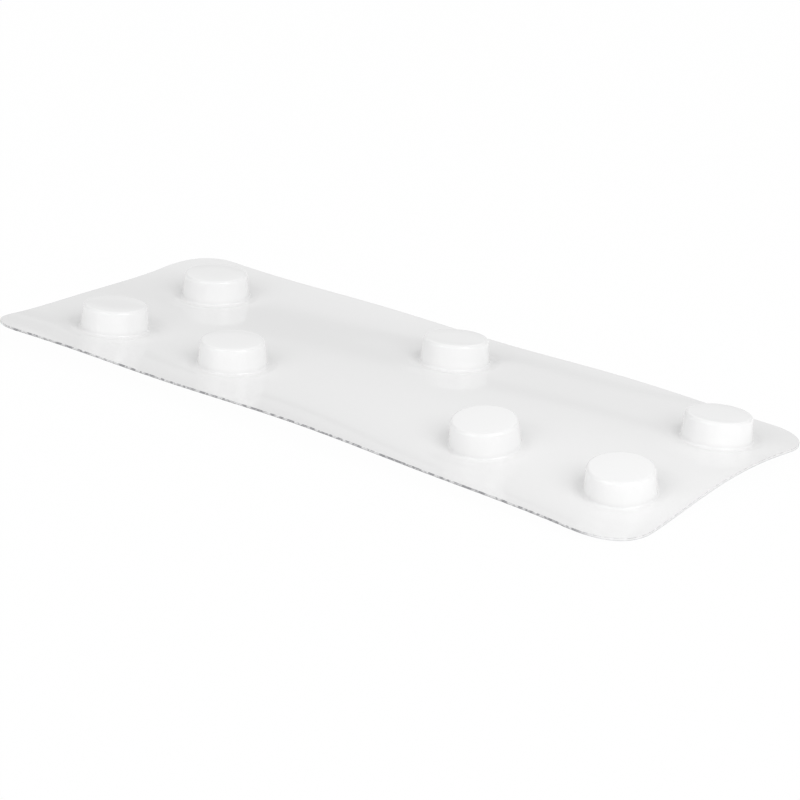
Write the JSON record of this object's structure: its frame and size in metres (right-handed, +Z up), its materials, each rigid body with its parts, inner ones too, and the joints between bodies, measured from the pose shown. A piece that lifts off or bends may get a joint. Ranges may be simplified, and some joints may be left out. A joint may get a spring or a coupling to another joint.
{
  "type": "tablet blister pack",
  "caption": "Card of white formed plastic film with two rows of round, flat-topped tablet pockets, sealed underneath with aluminium foil, slightly warped, with rounded corners.",
  "frame": {"origin": "middle of the footprint, on the surface that the card lies on", "axes": "+X along the card's length to its drooping end, +Y across it to the row with fewer pockets, +Z up through the pockets"},
  "size_m": [0.115, 0.0478, 0.0064],
  "materials": {
    "white_film": "opaque white thermoformed film, glossy",
    "foil": "hard aluminium foil, bright, with a fine knurled seal pattern"
  },
  "bodies": {
    "root": {"formed_film": "white_film", "lidding_foil": "foil"}
  },
  "joints": []
}
